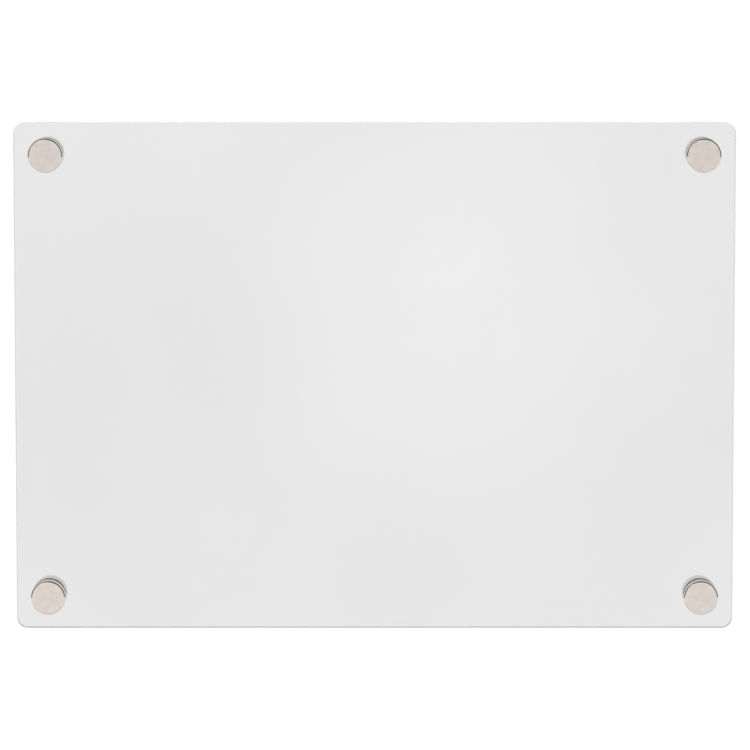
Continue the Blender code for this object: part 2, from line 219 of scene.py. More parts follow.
class StageSettings(PropertyGroup):
    distance: length_of("Camera distance", "From the lens to the sheet's middle", 2.85)
    elevation: FloatProperty(
        name="Camera elevation",
        description="How far the camera looks down",
        default=math.radians(6.1),
        subtype="ANGLE",
    )
    picture_width: length_of("Picture width", "What the picture spans across the sheet", 0.4378)
    aim_right: length_of("Aim right", "How far the picture's middle lies right of the sheet's", 0.00025)
    aim_up: length_of("Aim up", "How far the picture's middle lies above the sheet's", 0.0009)
    sensor: FloatProperty(name="Sensor", description="Width of the sensor in millimetres", default=36)
    floor_drop: length_of("Floor drop", "From the sheet's lower edge down to the floor", 0.5)
    floor_reach: length_of("Floor reach", "How far the floor runs before and behind the board", 60)
    floor_side: length_of("Floor side", "How far the floor runs to each side", 5)
    floor_tone: share_of("Floor tone", "How much of the light on it the floor gives back", 0.74)
    floor_glow: share_of("Floor glow", "What makes the lit floor show as white", 0.435)
    ambient: share_of("Ambient", "Strength of the room's soft light", 0.8)
    ceiling: share_of("Ceiling", "How bright the dark ceiling is in a mirrored view", 0.06)
    flags: share_of("Flags", "How bright the dark flags at the sides are in a mirrored view", 0.1)
    shaded: share_of("Shaded", "How bright the floor under the board is in a mirrored view", 0.55)
    lamp_size: length_of("Lamp size", "Width of each soft lamp", 3)
    key_power: FloatProperty(name="Key power", description="Power of the main lamp in watts", default=36)
    fill_power: FloatProperty(name="Fill power", description="Power of the second lamp in watts", default=16)


class MemoBoardSettings(PropertyGroup):
    sheet: group_of(SheetSettings, "Sheet", "Sizes and colours of the sheet")
    standoff: group_of(StandoffSettings, "Standoff", "Sizes and colours of a standoff")
    fixing: group_of(FixingSettings, "Fixing", "Sizes and colours of screw and plug")
    stage: group_of(StageSettings, "Stage", "Camera, floor and light")


# Reading the frame


def reach(node):
    """A turned node's radius, and how far its back and its front stand out from the wall."""
    low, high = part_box(node)
    return (high.x - low.x) / 2, -high.y, -low.y


def hanging(corner):
    """What takes a standoff's own axes to its corner, with its height out from the wall along -Y."""
    low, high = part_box(f"cap_{corner}")
    axis = (low + high) / 2
    return Matrix.Translation((axis.x, 0, axis.z)) @ Matrix.Rotation(math.pi / 2, 4, "X")


# Shaping


def wire(bm, outline, closed):
    """A chain of points and edges in the plane of radius and height."""
    points = [bm.verts.new((radius, 0, height)) for radius, height in outline]
    pairs = list(zip(points, points[1:]))
    if closed:
        pairs.append((points[-1], points[0]))
    for pair in pairs:
        bm.edges.new(pair)
    return points


def rounded(bm, geom, radius, affect, steps=ROLL_STEPS):
    """Rounds corners or edges."""
    bmesh.ops.bevel(
        bm,
        geom=geom,
        offset=radius,
        offset_type="OFFSET",
        affect=affect,
        segments=steps,
        profile=0.5,
        material=-1,
    )


def turn_round(bm, steps):
    """Spins a wire once about the standoff's axis into a closed solid."""
    bmesh.ops.spin(
        bm,
        geom=bm.verts[:] + bm.edges[:],
        cent=(0, 0, 0),
        axis=(0, 0, 1),
        angle=math.tau,
        steps=steps,
        use_merge=True,
    )
    bmesh.ops.remove_doubles(bm, verts=bm.verts, dist=WELD)
    bmesh.ops.recalc_face_normals(bm, faces=bm.faces)


def turned(outline, rolls, steps=TURNED_STEPS, closed=False):
    """A solid turned from its (radius, height) outline.

    Rolls gives the radius at each corner that is rounded.
    """
    bm = bmesh.new()
    points = wire(bm, outline, closed)
    for corner, radius in rolls.items():
        rounded(bm, [points[corner]], radius, "VERTICES")
    turn_round(bm, steps)
    return bm


def rim_at(bm, height):
    """The open edges at a height."""
    return [
        edge
        for edge in bm.edges
        if edge.is_boundary and all(abs(point.co.z - height) < WELD for point in edge.verts)
    ]


def carry_on(bm, start, circles):
    """Carries the open rim at a height on through (radius, height) circles, and closes the last one."""
    rim = rim_at(bm, start)
    for radius, height in circles:
        grown = bmesh.ops.extrude_edge_only(bm, edges=rim)["geom"]
        points = {item for item in grown if isinstance(item, bmesh.types.BMVert)}
        for point in points:
            outward = Vector((point.co.x, point.co.y, 0)).normalized()
            point.co = radius * outward + Vector((0, 0, height))
        edges = [item for item in grown if isinstance(item, bmesh.types.BMEdge)]
        rim = [edge for edge in edges if set(edge.verts) <= points]
    bmesh.ops.edgeloop_fill(bm, edges=rim)


def threaded(ridge, pitch, root_height, bottom, top):
    """The open wall of a right-handed thread, cut off square at bottom and top.

    The ridge is one pitch of (radius, rise) points from root to root. A root passes through root_height
    where the spin begins.
    """
    bm = bmesh.new()
    first = root_height + (math.floor((bottom - root_height) / pitch) - 1) * pitch
    turns = math.ceil((top - first) / pitch) + 1
    wire(bm, [(radius, first + rise) for radius, rise in ridge], closed=False)
    bmesh.ops.spin(
        bm,
        geom=bm.verts[:] + bm.edges[:],
        cent=(0, 0, 0),
        axis=(0, 0, 1),
        dvec=(0, 0, pitch / THREAD_STEPS),
        angle=turns * math.tau,
        steps=turns * THREAD_STEPS,
    )
    bmesh.ops.remove_doubles(bm, verts=bm.verts, dist=WELD)
    for height, cleared in ((bottom, "clear_inner"), (top, "clear_outer")):
        bmesh.ops.bisect_plane(
            bm,
            geom=bm.verts[:] + bm.edges[:] + bm.faces[:],
            dist=WELD,
            plane_co=(0, 0, height),
            plane_no=(0, 0, 1),
            **{cleared: True},
        )
    return bm


def ridge_of(root, crest, pitch, crest_share, root_share):
    """One pitch of thread, from the middle of a root over the crest to the next."""
    flat = crest_share * pitch / 2
    floor = root_share * pitch / 2
    middle = pitch / 2
    return [
        (root, 0),
        (root, floor),
        (crest, middle - flat),
        (crest, middle + flat),
        (root, pitch - floor),
        (root, pitch),
    ]


def settled(bm, name):
    """The mesh of a bmesh, with its points snapped and its points and faces in the order of their places.

    Blender's cuts and merges leave them in an order of their own, which changes from run to run.
    """
    # Adding zero makes a negative zero a plain one
    places = {point: tuple(round(value, SNAP_DIGITS) + 0.0 for value in point.co) for point in bm.verts}
    points = sorted(bm.verts, key=places.get)
    numbers = {point: number for number, point in enumerate(points)}
    faces = []
    for face in bm.faces:
        corners = [numbers[point] for point in face.verts]
        first = corners.index(min(corners))
        faces.append(corners[first:] + corners[:first])
    mesh = bpy.data.meshes.new(name)
    mesh.from_pydata([places[point] for point in points], [], sorted(faces))
    bm.free()
    return mesh


def mesh_of(bm, name):
    """The mesh of a closed bmesh, facing out."""
    if any(not edge.is_manifold for edge in bm.edges):
        raise RuntimeError(f"{name} isn't a closed solid")
    bmesh.ops.recalc_face_normals(bm, faces=bm.faces)
    return settled(bm, name)


def carved(body, cutters):
    """The body's mesh with each cutter's mesh taken out of it. The meshes given are used up."""
    name = body.name
    helpers = [bpy.data.objects.new(mesh.name, mesh) for mesh in [body, *cutters]]
    for helper in helpers:
        bpy.context.scene.collection.objects.link(helper)
    for cutter in helpers[1:]:
        cut = helpers[0].modifiers.new(cutter.name, "BOOLEAN")
        cut.operation = "DIFFERENCE"
        cut.solver = "EXACT"
        cut.object = cutter
    bpy.context.view_layer.update()
    graph = bpy.context.evaluated_depsgraph_get()
    cut_mesh = bpy.data.meshes.new_from_object(helpers[0].evaluated_get(graph))
    for helper in helpers:
        bpy.data.objects.remove(helper)
    rough = bmesh.new()
    rough.from_mesh(cut_mesh)
    settled_cut = settled(rough, name)
    bm = bmesh.new()
    bm.from_mesh(settled_cut)
    for mesh in (body, *cutters, cut_mesh, settled_cut):
        bpy.data.meshes.remove(mesh)
    bmesh.ops.remove_doubles(bm, verts=bm.verts, dist=SLIVER)
    bmesh.ops.dissolve_degenerate(bm, edges=bm.edges, dist=SLIVER)
    return mesh_of(bm, name)


def note_turning(mesh):
    """Keeps each point's place in the standoff's own axes, for the finishes that follow the turning."""
    places = mesh.attributes.new("turned", "FLOAT_VECTOR", "POINT")
    for point, place in zip(mesh.vertices, places.data):
        place.vector = point.co


def finished(node, mesh, materials):
    """Makes the piece that stands for a node, on the node's body."""
    mesh.materials.clear()
    for material in materials:
        mesh.materials.append(material)
    mesh.shade_smooth()
    mesh.set_sharp_from_angle(angle=SHARP_ANGLE)
    piece = bpy.data.objects.new(f"dressed_{node}", mesh)
    # Keeps a flat face flat up to its rolled edge, where smoothing alone would lean it
    level = piece.modifiers.new("level_faces", "WEIGHTED_NORMAL")
    level.keep_sharp = True
    bpy.context.scene.collection.objects.link(piece)
    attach(piece, BODY_OF[node])
    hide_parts(node)


def hang_at_corners(kind, mesh, material):
    """Hangs a copy of a standoff's piece at each corner. The mesh given is used up."""
    note_turning(mesh)
    for corner in CORNERS:
        node = f"{kind}_{corner}"
        copy = mesh.copy()
        copy.name = node
        copy.transform(hanging(corner))
        finished(node, copy, [material])
    bpy.data.meshes.remove(mesh)


# Finishes


def fit(tree, node, sockets):
    """Links each socket to another node's output, or sets it to a value."""
    for name, value in sockets.items():
        if isinstance(value, bpy.types.NodeSocket):
            tree.links.new(value, node.inputs[name])
        else:
            node.inputs[name].default_value = value


def add(tree, kind, sockets, **settings):
    node = tree.nodes.new(kind)
    for name, value in settings.items():
        setattr(node, name, value)
    fit(tree, node, sockets)
    return node


def mixed(tree, factor, first, second):
    """A colour between two, which a ShaderNodeMix holds at these sockets."""
    node = tree.nodes.new("ShaderNodeMix")
    node.data_type = "RGBA"
    tree.links.new(factor, node.inputs[0])
    node.inputs[6].default_value = (*first, 1)
    node.inputs[7].default_value = (*second, 1)
    return node.outputs[2]


def ranged(tree, value, low, high, new_low, new_high, **settings):
    sockets = {"Value": value, "From Min": low, "From Max": high, "To Min": new_low, "To Max": new_high}
    return add(tree, "ShaderNodeMapRange", sockets, **settings).outputs["Result"]


def reckoned(tree, operation, *values):
    """What a Math node makes of its values."""
    return add(tree, "ShaderNodeMath", dict(enumerate(values)), operation=operation).outputs["Value"]


def noise(tree, place, scale, detail=2.0):
    sockets = {"Vector": place, "Scale": scale, "Detail": detail}
    return add(tree, "ShaderNodeTexNoise", sockets).outputs["Fac"]


def bumped(tree, height, strength, distance, normal=None):
    sockets = {"Height": height, "Strength": strength, "Distance": distance}
    if normal:
        sockets["Normal"] = normal
    return add(tree, "ShaderNodeBump", sockets).outputs["Normal"]


def blank(name):
    material = bpy.data.materials.new(name)
    material.use_nodes = True
    tree = material.node_tree
    return material, tree, tree.nodes["Principled BSDF"]


def board_places(tree):
    return add(tree, "ShaderNodeTexCoord", {}).outputs["Object"]


def turned_places(tree):
    """A point's place in its standoff's own axes, and its radius and height there."""
    place = add(tree, "ShaderNodeAttribute", {}, attribute_name="turned").outputs["Vector"]
    flat = add(tree, "ShaderNodeVectorMath", {0: place, 1: (1, 1, 0)}, operation="MULTIPLY").outputs["Vector"]
    radius = add(tree, "ShaderNodeVectorMath", {0: flat}, operation="LENGTH").outputs["Value"]
    height = add(tree, "ShaderNodeSeparateXYZ", {"Vector": place}).outputs["Z"]
    return place, radius, height


def rings(tree, value, scale):
    """Uneven bands along one value, as a lathe's tool leaves them."""
    sockets = {"W": value, "Scale": scale, "Detail": 3.0}
    return add(tree, "ShaderNodeTexNoise", sockets, noise_dimensions="1D").outputs["Fac"]


def wiped_marks(tree, place):
    """Faint long marks, as a cloth leaves them across the sheet."""
    streaks = add(
        tree,
        "ShaderNodeMapping",
        {"Vector": place, "Rotation": (0, WIPE_ANGLE, 0), "Scale": WIPE_SCALE},
    ).outputs["Vector"]
    return noise(tree, streaks, scale=1.0, detail=4.0)


def clear_acrylic(settings):
    """The sheet's faces, with a painted highlight right of and above the middle, painted shade towards the
    bottom, random clouds of tone, a faint haze and fine wiping marks.
    """
    material, tree, shader = blank("clear_acrylic")
    low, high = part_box("panel")
    place = board_places(tree)
    marks = wiped_marks(tree, place)
    # Painted highlight: the sheet is lighter near a point right of and above its middle
    from_highlight = add(
        tree, "ShaderNodeVectorMath", {0: place, 1: PAINTED_HIGHLIGHT_MIDDLE}, operation="DISTANCE"
    ).outputs["Value"]
    middle = ranged(
        tree,
        from_highlight,
        settings.highlight_core,
        settings.highlight_reach,
        settings.highlight_strength,
        0.0,
        interpolation_type="SMOOTHSTEP",
    )
    # Painted shade: the sheet is painted darker towards its bottom
    height = add(tree, "ShaderNodeSeparateXYZ", {"Vector": place}).outputs["Z"]
    top_light = ranged(tree, height, low.z, high.z, 0.0, settings.shade_towards_bottom)
    clouds = noise(tree, place, scale=9.0)
    # The painted highlight and the painted light towards the top, with random clouds, move the tone between
    # the two tints
    painted_light = reckoned(tree, "ADD", middle, top_light)
    light_and_clouds = reckoned(tree, "MULTIPLY_ADD", clouds, settings.clouding, painted_light)
    sockets = {
        "Base Color": mixed(tree, light_and_clouds, settings.shaded_and_dark_cloud_tint, settings.lit_and_pale_cloud_tint),
        "Roughness": ranged(tree, marks, 0.4, 0.75, settings.haze, 2.5 * settings.haze),
        "Normal": bumped(tree, noise(tree, place, scale=18.0), strength=0.05, distance=0.0004),
        "Transmission Weight": 1.0,
        "IOR": ACRYLIC_IOR,
    }
    fit(tree, shader, sockets)
    return material


def polished_edge(settings):
    """The sheet's cut edge, polished over fine saw marks that scatter the light along the sheet."""
    material, tree, shader = blank("polished_edge")
    place = board_places(tree)
    saw = add(tree, "ShaderNodeMapping", {"Vector": place, "Scale": SAW_SCALE}).outputs["Vector"]
    marks = noise(tree, saw, scale=1.0, detail=3.0)
    frost = noise(tree, place, scale=60.0)
    sockets = {
        "Base Color": mixed(tree, frost, settings.edge_tint, settings.edge_frost),
        "Roughness": ranged(tree, marks, *GRAIN_SPAN, 0.10, 0.24),
        "Normal": bumped(tree, marks, strength=0.15, distance=0.0001),
        "Transmission Weight": 0.35,
        "IOR": ACRYLIC_IOR,
    }
    fit(tree, shader, sockets)
    return material


def satin_nickel(settings, face_end):
    """Nickel plate, fine blasted on the faces and polished from the radius where they end."""
    material, tree, shader = blank("satin_nickel")
    place, radius, height = turned_places(tree)
    grain = noise(tree, place, scale=3200.0, detail=3.0)
    patches = ranged(tree, noise(tree, place, scale=260.0), *PATCH_SPAN, 0.0, 1.0)
    marks = reckoned(tree, "ADD", rings(tree, radius, scale=4200.0), rings(tree, height, scale=5200.0))
    blasted = ranged(tree, grain, *GRAIN_SPAN, 0.24, 0.33)
    polish = ranged(tree, radius, face_end - settings.face_roll, face_end, 1.0, settings.polish)
    marked = bumped(tree, marks, strength=0.06, distance=MARK_DEPTH)
    sockets = {
        "Base Color": mixed(tree, patches, settings.nickel_shade, settings.nickel),
        "Roughness": reckoned(tree, "MULTIPLY", blasted, polish),
        "Normal": bumped(tree, grain, strength=0.05, distance=MARK_DEPTH, normal=marked),
        "Metallic": 1.0,
    }
    fit(tree, shader, sockets)
    return material


def threaded_steel(settings, root, crest):
    """Turned steel, with painted shade that darkens it from the crests down into the roots."""
    material, tree, shader = blank("threaded_steel")
    place, radius, height = turned_places(tree)
    # Painted shade: darker from a thread's crest down to its root
    depth = ranged(tree, radius, root, crest, 0.0, 1.0)
    marks = rings(tree, height, scale=9000.0)
    sockets = {
        "Base Color": mixed(tree, depth, settings.painted_root_shade, settings.steel),
        "Roughness": ranged(tree, noise(tree, place, scale=1500.0), *GRAIN_SPAN, 0.28, 0.42),
        "Normal": bumped(tree, marks, strength=0.2, distance=MARK_DEPTH),
        "Metallic": 1.0,
    }
    fit(tree, shader, sockets)
    return material


def clear_silicone(settings):
    """Soft clear silicone with a moulded grain."""
    material, tree, shader = blank("clear_silicone")
    place = turned_places(tree)[0]
    grain = noise(tree, place, scale=2400.0)
    milk = tuple(MILKINESS * part for part in settings.silicone)
    sockets = {
        "Base Color": mixed(tree, noise(tree, place, scale=500.0), milk, settings.silicone),
        "Roughness": ranged(tree, grain, *GRAIN_SPAN, 0.32, 0.46),
        "Normal": bumped(tree, grain, strength=0.15, distance=0.00003),
        "Transmission Weight": 0.1,
        "IOR": SILICONE_IOR,
    }
    fit(tree, shader, sockets)
    return material


def zinc_plate(settings):
    """Bright zinc over turned steel, a little dull in places."""
    material, tree, shader = blank("zinc_plated_steel")
    place, radius, height = turned_places(tree)
    dull = ranged(tree, noise(tree, place, scale=420.0, detail=3.0), *PATCH_SPAN, 0.0, 1.0)
    marks = reckoned(tree, "ADD", rings(tree, radius, scale=5000.0), rings(tree, height, scale=7000.0))
    sockets = {
        "Base Color": mixed(tree, dull, settings.zinc, settings.zinc_shade),
        "Roughness": ranged(tree, dull, 0.0, 1.0, 0.22, 0.34),
        "Normal": bumped(tree, marks, strength=0.08, distance=MARK_DEPTH),
        "Metallic": 1.0,
    }
    fit(tree, shader, sockets)
    return material


def grey_nylon(settings):
    """Moulded nylon with a fine grain and flow lines along the plug."""
    material, tree, shader = blank("grey_nylon")
    place = turned_places(tree)[0]
    along = add(tree, "ShaderNodeMapping", {"Vector": place, "Scale": FLOW_SCALE}).outputs["Vector"]
    flow = ranged(tree, noise(tree, along, scale=1.0, detail=3.0), *PATCH_SPAN, 0.0, 1.0)
    grain = noise(tree, place, scale=5200.0)
    sockets = {
        "Base Color": mixed(tree, flow, settings.nylon_flow, settings.nylon),
        "Roughness": ranged(tree, grain, *GRAIN_SPAN, 0.46, 0.62),
        "Normal": bumped(tree, grain, strength=0.25, distance=0.00004),
        "Subsurface Weight": 0.08,
        "Subsurface Scale": 0.001,
    }
    fit(tree, shader, sockets)
    return material


# The pieces


def sheet_blank(settings):
    """The sheet with rounded corners and rolled edges, before it is drilled."""
    low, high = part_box("panel")
    width, thickness, height = high - low
    bm = bmesh.new()
    bmesh.ops.create_grid(bm, x_segments=1, y_segments=1, size=0.5)
    bmesh.ops.scale(bm, verts=bm.verts, vec=(width, height, 1))
    rounded(bm, bm.verts[:], settings.corner_radius, "VERTICES", CORNER_STEPS)
    bmesh.ops.rotate(bm, verts=bm.verts, cent=(0, 0, 0), matrix=Matrix.Rotation(math.pi / 2, 3, "X"))
    centre = (low + high) / 2
    bmesh.ops.translate(bm, verts=bm.verts, vec=(centre.x, low.y, centre.z))
    grown = bmesh.ops.extrude_face_region(bm, geom=bm.faces[:], use_keep_orig=True)["geom"]
    back = [item for item in grown if isinstance(item, bmesh.types.BMVert)]
    bmesh.ops.translate(bm, verts=back, vec=(0, thickness, 0))
    bmesh.ops.recalc_face_normals(bm, faces=bm.faces)
    rims = [edge for edge in bm.edges if abs(edge.verts[0].co.y - edge.verts[1].co.y) < WELD]
    rounded(bm, rims, settings.edge_roll, "EDGES")
    return mesh_of(bm, "sheet_blank")


def drill(settings, corner):
    """A cutter for the hole at a corner, flared at both of the sheet's faces."""
    stud_radius = reach(f"stud_{corner}")[0]
    low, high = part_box("panel")
    back, front = -high.y, -low.y
    narrow = stud_radius + settings.hole_clearance
    chamfer = settings.hole_chamfer
    wide = narrow + chamfer + OVERRUN
    outline = [
        (0, back - OVERRUN),
        (wide, back - OVERRUN),
        (narrow, back + chamfer),
        (narrow, front - chamfer),
        (wide, front + OVERRUN),
        (0, front + OVERRUN),
    ]
    cutter = mesh_of(turned(outline, {}), f"drill_{corner}")
    cutter.transform(hanging(corner))
    return cutter


class MEMO_OT_sheet(Operator):
    """Makes the clear sheet, drilled at its corners"""

    bl_idname = "memo_board.sheet"
    bl_label = "Sheet"

    def execute(self, context):
        settings = context.scene.memo_board.sheet
        drills = [drill(settings, corner) for corner in CORNERS]
        mesh = carved(sheet_blank(settings), drills)
        finished("panel", mesh, [clear_acrylic(settings), polished_edge(settings)])
        for face in mesh.polygons:
            face.material_index = int(abs(face.normal.y) < FACE_ON)
        return {"FINISHED"}


class MEMO_OT_caps(Operator):
    """Makes the round metal cap on the front of each standoff"""

    bl_idname = "memo_board.caps"
    bl_label = "Caps"

    def execute(self, context):
        settings = context.scene.memo_board.standoff
        radius, back, front = reach("cap_top_left")
        bore = reach("stud_top_left")[0] - settings.stud_depth + settings.seat_gap
        outline = [
            (0, back + settings.bore_depth),
            (bore, back + settings.bore_depth),
            (bore, back),
            (radius, back),
            (radius, front - settings.face_chamfer),
            (radius - settings.face_chamfer, front),
            (0, front),
        ]
        rolls = {2: settings.foot_roll, 3: settings.foot_roll, 4: settings.face_roll, 5: settings.face_roll}
        mesh = mesh_of(turned(outline, rolls), "cap")
        hang_at_corners("cap", mesh, satin_nickel(settings, radius - settings.face_chamfer))
        return {"FINISHED"}


class MEMO_OT_studs(Operator):
    """Makes the threaded stud that joins each cap to its barrel"""

    bl_idname = "memo_board.studs"
    bl_label = "Studs"

    def execute(self, context):
        settings = context.scene.memo_board.standoff
        crest, tip, top = reach("stud_top_left")
        root = crest - settings.stud_depth
        cap_back = reach("cap_top_left")[1]
        floor = reach("wall_screw_top_left")[2]
        first_groove = floor + settings.thread_lead
        foot = tip + settings.tip_chamfer
        ridge = ridge_of(root, crest, settings.pitch, crest_share=0.3, root_share=0.06)
        bm = threaded(ridge, settings.pitch, first_groove + settings.pitch / 2, foot, cap_back)
        carry_on(bm, foot, [(root - settings.tip_chamfer, tip)])
        carry_on(bm, cap_back, [(root, cap_back + settings.seat_gap), (root, top)])
        mesh = mesh_of(bm, "stud")
        hang_at_corners("stud", mesh, threaded_steel(settings, root, crest))
        return {"FINISHED"}


class MEMO_OT_washers(Operator):
    """Makes the clear washers that the sheet is clamped between"""

    bl_idname = "memo_board.washers"
    bl_label = "Washers"

    def execute(self, context):
        board = context.scene.memo_board
        gap = board.standoff.clamp_gap
        low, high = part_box("panel")
        barrel_front = reach("barrel_top_left")[2]
        cap_back = reach("cap_top_left")[1]
        inner = reach("stud_top_left")[0] + board.sheet.hole_clearance
        silicone = clear_silicone(board.standoff)
        clamped = (("rear_washer", barrel_front, -high.y), ("front_washer", -low.y, cap_back))
        for kind, back, front in clamped:
            outer = reach(f"{kind}_top_left")[0]
            outline = [(inner, back + gap), (outer, back + gap), (outer, front - gap), (inner, front - gap)]
            bulge = (front - back) / 2 - 2 * gap
            bm = turned(outline, {1: bulge, 2: bulge, 0: gap, 3: gap}, closed=True)
            hang_at_corners(kind, mesh_of(bm, kind), silicone)
        return {"FINISHED"}


class MEMO_OT_barrels(Operator):
    """Makes the threaded barrel that holds the sheet off the wall"""

    bl_idname = "memo_board.barrels"
    bl_label = "Barrels"

    def execute(self, context):
        board = context.scene.memo_board
        settings = board.standoff
        fixing = board.fixing
        radius, back, front = reach("barrel_top_left")
        head_radius, _, floor = reach("wall_screw_top_left")
        collar_radius, _, collar_front = reach("wall_plug_top_left")
        hole = fixing.shank_radius + fixing.screw_clearance
        relief = collar_radius + fixing.collar_clearance
        relief_top = collar_front + settings.seat_gap
        land_top = relief_top + fixing.land_thickness
        outline = [
            (settings.barrel_crest, floor),
            (head_radius + settings.seat_gap, floor),
            (hole, land_top),
            (hole, relief_top),
            (relief, relief_top),
            (relief, back),
            (radius, back),
            (radius, front),
            (settings.barrel_crest, front),
        ]
        rolls = {6: settings.foot_roll, 7: settings.foot_roll}
        body = mesh_of(turned(outline, rolls, closed=True), "barrel_body")
        first_groove = floor + settings.thread_lead
        mouth = front - settings.mouth_chamfer
        inside = settings.barrel_crest - OVERRUN / 10
        ridge = ridge_of(inside, settings.barrel_root, settings.pitch, crest_share=0.05, root_share=0.2)
        tap = threaded(ridge, settings.pitch, first_groove - settings.pitch / 2, first_groove, mouth)
        carry_on(tap, first_groove, [(inside, first_groove + WELD)])
        flare = settings.barrel_root + settings.mouth_chamfer + OVERRUN
        carry_on(tap, mouth, [(settings.barrel_root, mouth), (flare, front + OVERRUN)])
        mesh = carved(body, [mesh_of(tap, "tap")])
        hang_at_corners("barrel", mesh, satin_nickel(settings, radius - settings.foot_roll))
        return {"FINISHED"}


def cross_cutter(fixing, top):
    """The two tapered blades of a cross-head driver's recess, as one cutter each."""
    cutters = []
    for turn in (0, math.pi / 2):
        bm = bmesh.new()
        bmesh.ops.create_cube(bm, size=1)
        depth = fixing.recess_depth + OVERRUN
        bmesh.ops.scale(bm, verts=bm.verts, vec=(fixing.recess_span, fixing.recess_blade, depth))
        low = [point for point in bm.verts if point.co.z < 0]
        bmesh.ops.scale(bm, verts=low, vec=RECESS_FOOT)
        bmesh.ops.rotate(bm, verts=bm.verts, cent=(0, 0, 0), matrix=Matrix.Rotation(turn, 3, "Z"))
        bmesh.ops.translate(bm, verts=bm.verts, vec=(0, 0, top + OVERRUN - depth / 2))
        cutters.append(mesh_of(bm, "recess_blade"))
    return cutters


class MEMO_OT_wall_screws(Operator):
    """Makes the countersunk screw that holds each barrel to the wall"""

    bl_idname = "memo_board.wall_screws"
    bl_label = "Wall screws"

    def execute(self, context):
        fixing = context.scene.memo_board.fixing
        head_radius, tip, top = reach("wall_screw_top_left")
        crest = fixing.shank_radius
        root = crest - fixing.thread_depth
        ridge = ridge_of(root, crest, fixing.pitch, crest_share=0.06, root_share=0.35)
        bm = threaded(ridge, fixing.pitch, tip, tip + fixing.point_radius, 0)
        point_top = tip + fixing.point_length
        taper = 1 - fixing.point_radius / root
        for point in bm.verts:
            share = min(1, (point.co.z - tip) / fixing.point_length)
            slim = 1 - taper * (1 - share) ** POINT_CURVE if point.co.z < point_top else 1
            point.co.x *= slim
            point.co.y *= slim
        carry_on(bm, tip + fixing.point_radius, [(fixing.point_radius / 2, tip)])
        neck = top - (head_radius - crest)
        carry_on(bm, 0, [(crest, fixing.point_radius), (crest, neck), (head_radius, top)])
        mesh = carved(mesh_of(bm, "wall_screw"), cross_cutter(fixing, top))
        hang_at_corners("wall_screw", mesh, zinc_plate(fixing))
        return {"FINISHED"}


class MEMO_OT_wall_plugs(Operator):
    """Makes the ribbed plug that the wall screw spreads in the wall"""

    bl_idname = "memo_board.wall_plugs"
    bl_label = "Wall plugs"

    def execute(self, context):
        fixing = context.scene.memo_board.fixing
        collar, end, front = reach("wall_plug_top_left")
        bore = fixing.shank_radius + fixing.screw_clearance
        neck = bore + fixing.plug_wall
        slit_top = end + fixing.slit_length
        rib_pitch = fixing.slit_length / (fixing.ribs + 1)
        outline = [(bore, front), (collar, front), (collar, 0), (neck, 0)]
        for rib in range(fixing.ribs):
            rib_top = slit_top - (rib + 1) * rib_pitch + fixing.rib_height
            outline += [(neck, rib_top), (neck + fixing.rib_height, rib_top)]
        outline += [(neck, end), (bore, end)]
        rolled = [corner for corner, (radius, _) in enumerate(outline) if radius > neck + WELD]
        rolls = {corner: fixing.rib_roll for corner in rolled}
        sleeve = mesh_of(turned(outline, rolls, steps=THREAD_STEPS, closed=True), "sleeve")
        bm = bmesh.new()
        length = fixing.slit_length + OVERRUN
        bmesh.ops.create_cube(bm, size=1)
        bmesh.ops.scale(bm, verts=bm.verts, vec=(4 * neck, fixing.slit_width, length))
        bmesh.ops.translate(bm, verts=bm.verts, vec=(0, 0, slit_top - length / 2))
        mesh = carved(sleeve, [mesh_of(bm, "slit")])
        hang_at_corners("wall_plug", mesh, grey_nylon(fixing))
        return {"FINISHED"}


# The studio


def white_floor(settings, level):
    """A pale floor that shows as white and keeps a soft shadow."""
    bm = bmesh.new()
    bmesh.ops.create_grid(bm, x_segments=1, y_segments=1, size=1)
    bmesh.ops.scale(bm, verts=bm.verts, vec=(settings.floor_side, settings.floor_reach, 1))
    bmesh.ops.translate(bm, verts=bm.verts, vec=(0, 0, level))
    mesh = bpy.data.meshes.new("floor")
    bm.to_mesh(mesh)
    bm.free()
    material = bpy.data.materials.new("floor")
    material.use_nodes = True
    tree = material.node_tree
    tree.nodes.clear()
    path = add(tree, "ShaderNodeLightPath", {}).outputs
    direct = reckoned(tree, "MAXIMUM", path["Is Camera Ray"], path["Is Transmission Ray"])
    from_board = add(
        tree, "ShaderNodeVectorMath", {0: board_places(tree), 1: (0, 0, level)}, operation="DISTANCE"
    ).outputs["Value"]
    near = settings.floor_drop
    shade = ranged(tree, from_board, near, 4 * near, settings.shaded, 1.0)
    mirrored = reckoned(tree, "MULTIPLY", path["Is Glossy Ray"], shade)
    seen = reckoned(tree, "MAXIMUM", direct, mirrored)
    strength = reckoned(tree, "MULTIPLY", seen, settings.floor_glow)
    glow = add(tree, "ShaderNodeEmission", {"Color": (1, 1, 1, 1), "Strength": strength})
    tone = settings.floor_tone
    matt = add(tree, "ShaderNodeBsdfDiffuse", {"Color": (tone, tone, tone, 1)})
    both = add(tree, "ShaderNodeAddShader", {0: glow.outputs[0], 1: matt.outputs[0]})
    add(tree, "ShaderNodeOutputMaterial", {"Surface": both.outputs[0]})
    mesh.materials.append(material)
    floor = bpy.data.objects.new("floor", mesh)
    bpy.context.scene.collection.objects.link(floor)


